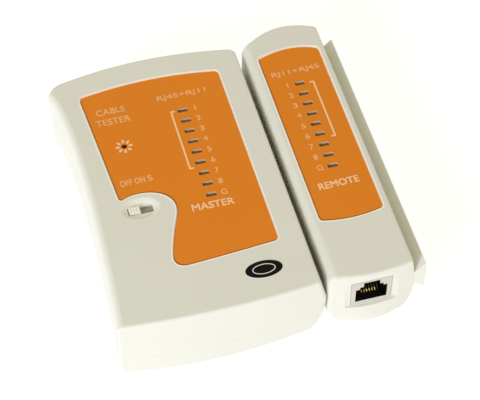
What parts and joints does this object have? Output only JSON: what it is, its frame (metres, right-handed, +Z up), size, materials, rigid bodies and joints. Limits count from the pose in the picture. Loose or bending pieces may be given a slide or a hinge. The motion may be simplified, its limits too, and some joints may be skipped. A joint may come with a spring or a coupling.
{
  "type": "network cable tester",
  "caption": "Two-piece network cable tester: wide master unit with slide switch and light column, narrow remote unit with dovetail rail, both with modular sockets.",
  "frame": {"origin": "centre of the bounding box footprint, on the surface both units rest on", "axes": "+Z up out of the front panels, +X from the master unit towards the remote unit, -Y towards the near ends (battery end of the master, network socket of the remote)"},
  "size_m": [0.1141, 0.1264, 0.0283],
  "materials": {
    "case_plastic": "fine satin moulded ABS, warm cream",
    "knob_plastic": "satin white moulded plastic",
    "label_film": "screen-printed orange polyester overlay",
    "badge_film": "gloss black sticker",
    "circuit_board": "green solder mask",
    "led_lens": "smoked diffused lens, unlit",
    "power_lens": "smoked round lens, unlit",
    "socket_plastic": "light grey moulded socket, dark inside",
    "contact_gold": "gold-plated phosphor bronze wire",
    "switch_steel": "plated switch frame",
    "battery_jacket": "printed steel jacket, plain dark",
    "snap_vinyl": "black vinyl snap cap",
    "lead_red_vinyl": "red insulated wire",
    "lead_black_vinyl": "black insulated wire",
    "chip_epoxy": "black moulded epoxy",
    "capacitor_sleeve": "shrink sleeve",
    "screw_steel": "zinc-plated steel"
  },
  "bodies": {
    "master": {"master_front_shell": "case_plastic", "master_back_shell": "case_plastic", "master_label": "label_film", "master_badge": "badge_film", "master_board": "circuit_board", "master_led_1": "led_lens", "master_led_2": "led_lens", "master_led_3": "led_lens", "master_led_4": "led_lens", "master_led_5": "led_lens", "master_led_6": "led_lens", "master_led_7": "led_lens", "master_led_8": "led_lens", "master_led_g": "led_lens", "master_power_led": "power_lens", "master_rj45_jack": "socket_plastic", "master_rj45_contacts": "contact_gold", "master_rj11_jack": "socket_plastic", "master_rj11_contacts": "contact_gold", "master_switch_body": "switch_steel", "master_battery": "battery_jacket", "master_battery_snap": "snap_vinyl", "master_lead_red": "lead_red_vinyl", "master_lead_black": "lead_black_vinyl", "master_chip_counter": "chip_epoxy", "master_chip_timer": "chip_epoxy", "master_capacitor": "capacitor_sleeve", "master_screw_1": "screw_steel", "master_screw_2": "screw_steel", "master_screw_3": "screw_steel", "master_screw_4": "screw_steel"},
    "switch": {"master_switch_knob": "knob_plastic"},
    "battery_door": {"master_battery_door": "case_plastic"},
    "remote": {"remote_front_shell": "case_plastic", "remote_back_shell": "case_plastic", "remote_label": "label_film", "remote_board": "circuit_board", "remote_led_1": "led_lens", "remote_led_2": "led_lens", "remote_led_3": "led_lens", "remote_led_4": "led_lens", "remote_led_5": "led_lens", "remote_led_6": "led_lens", "remote_led_7": "led_lens", "remote_led_8": "led_lens", "remote_led_g": "led_lens", "remote_rj45_jack": "socket_plastic", "remote_rj45_contacts": "contact_gold", "remote_rj11_jack": "socket_plastic", "remote_rj11_contacts": "contact_gold", "remote_screw_1": "screw_steel", "remote_screw_2": "screw_steel"}
  },
  "joints": [
    {"name": "switch_slide", "type": "slide", "parent": "master", "child": "switch", "axis": [1, 0, 0], "range_m": [0, 0.0044]},
    {"name": "battery_door_hinge", "type": "hinge", "parent": "master", "child": "battery_door", "pos_m": [0.00496, -0.04084, 0.0001], "axis": [0, -1, 0], "range_deg": [0, 80]},
    {"name": "remote_apart", "type": "slide", "parent": "master", "child": "remote", "axis": [1, 0, 0], "range_m": [0, 0.08]}
  ]
}
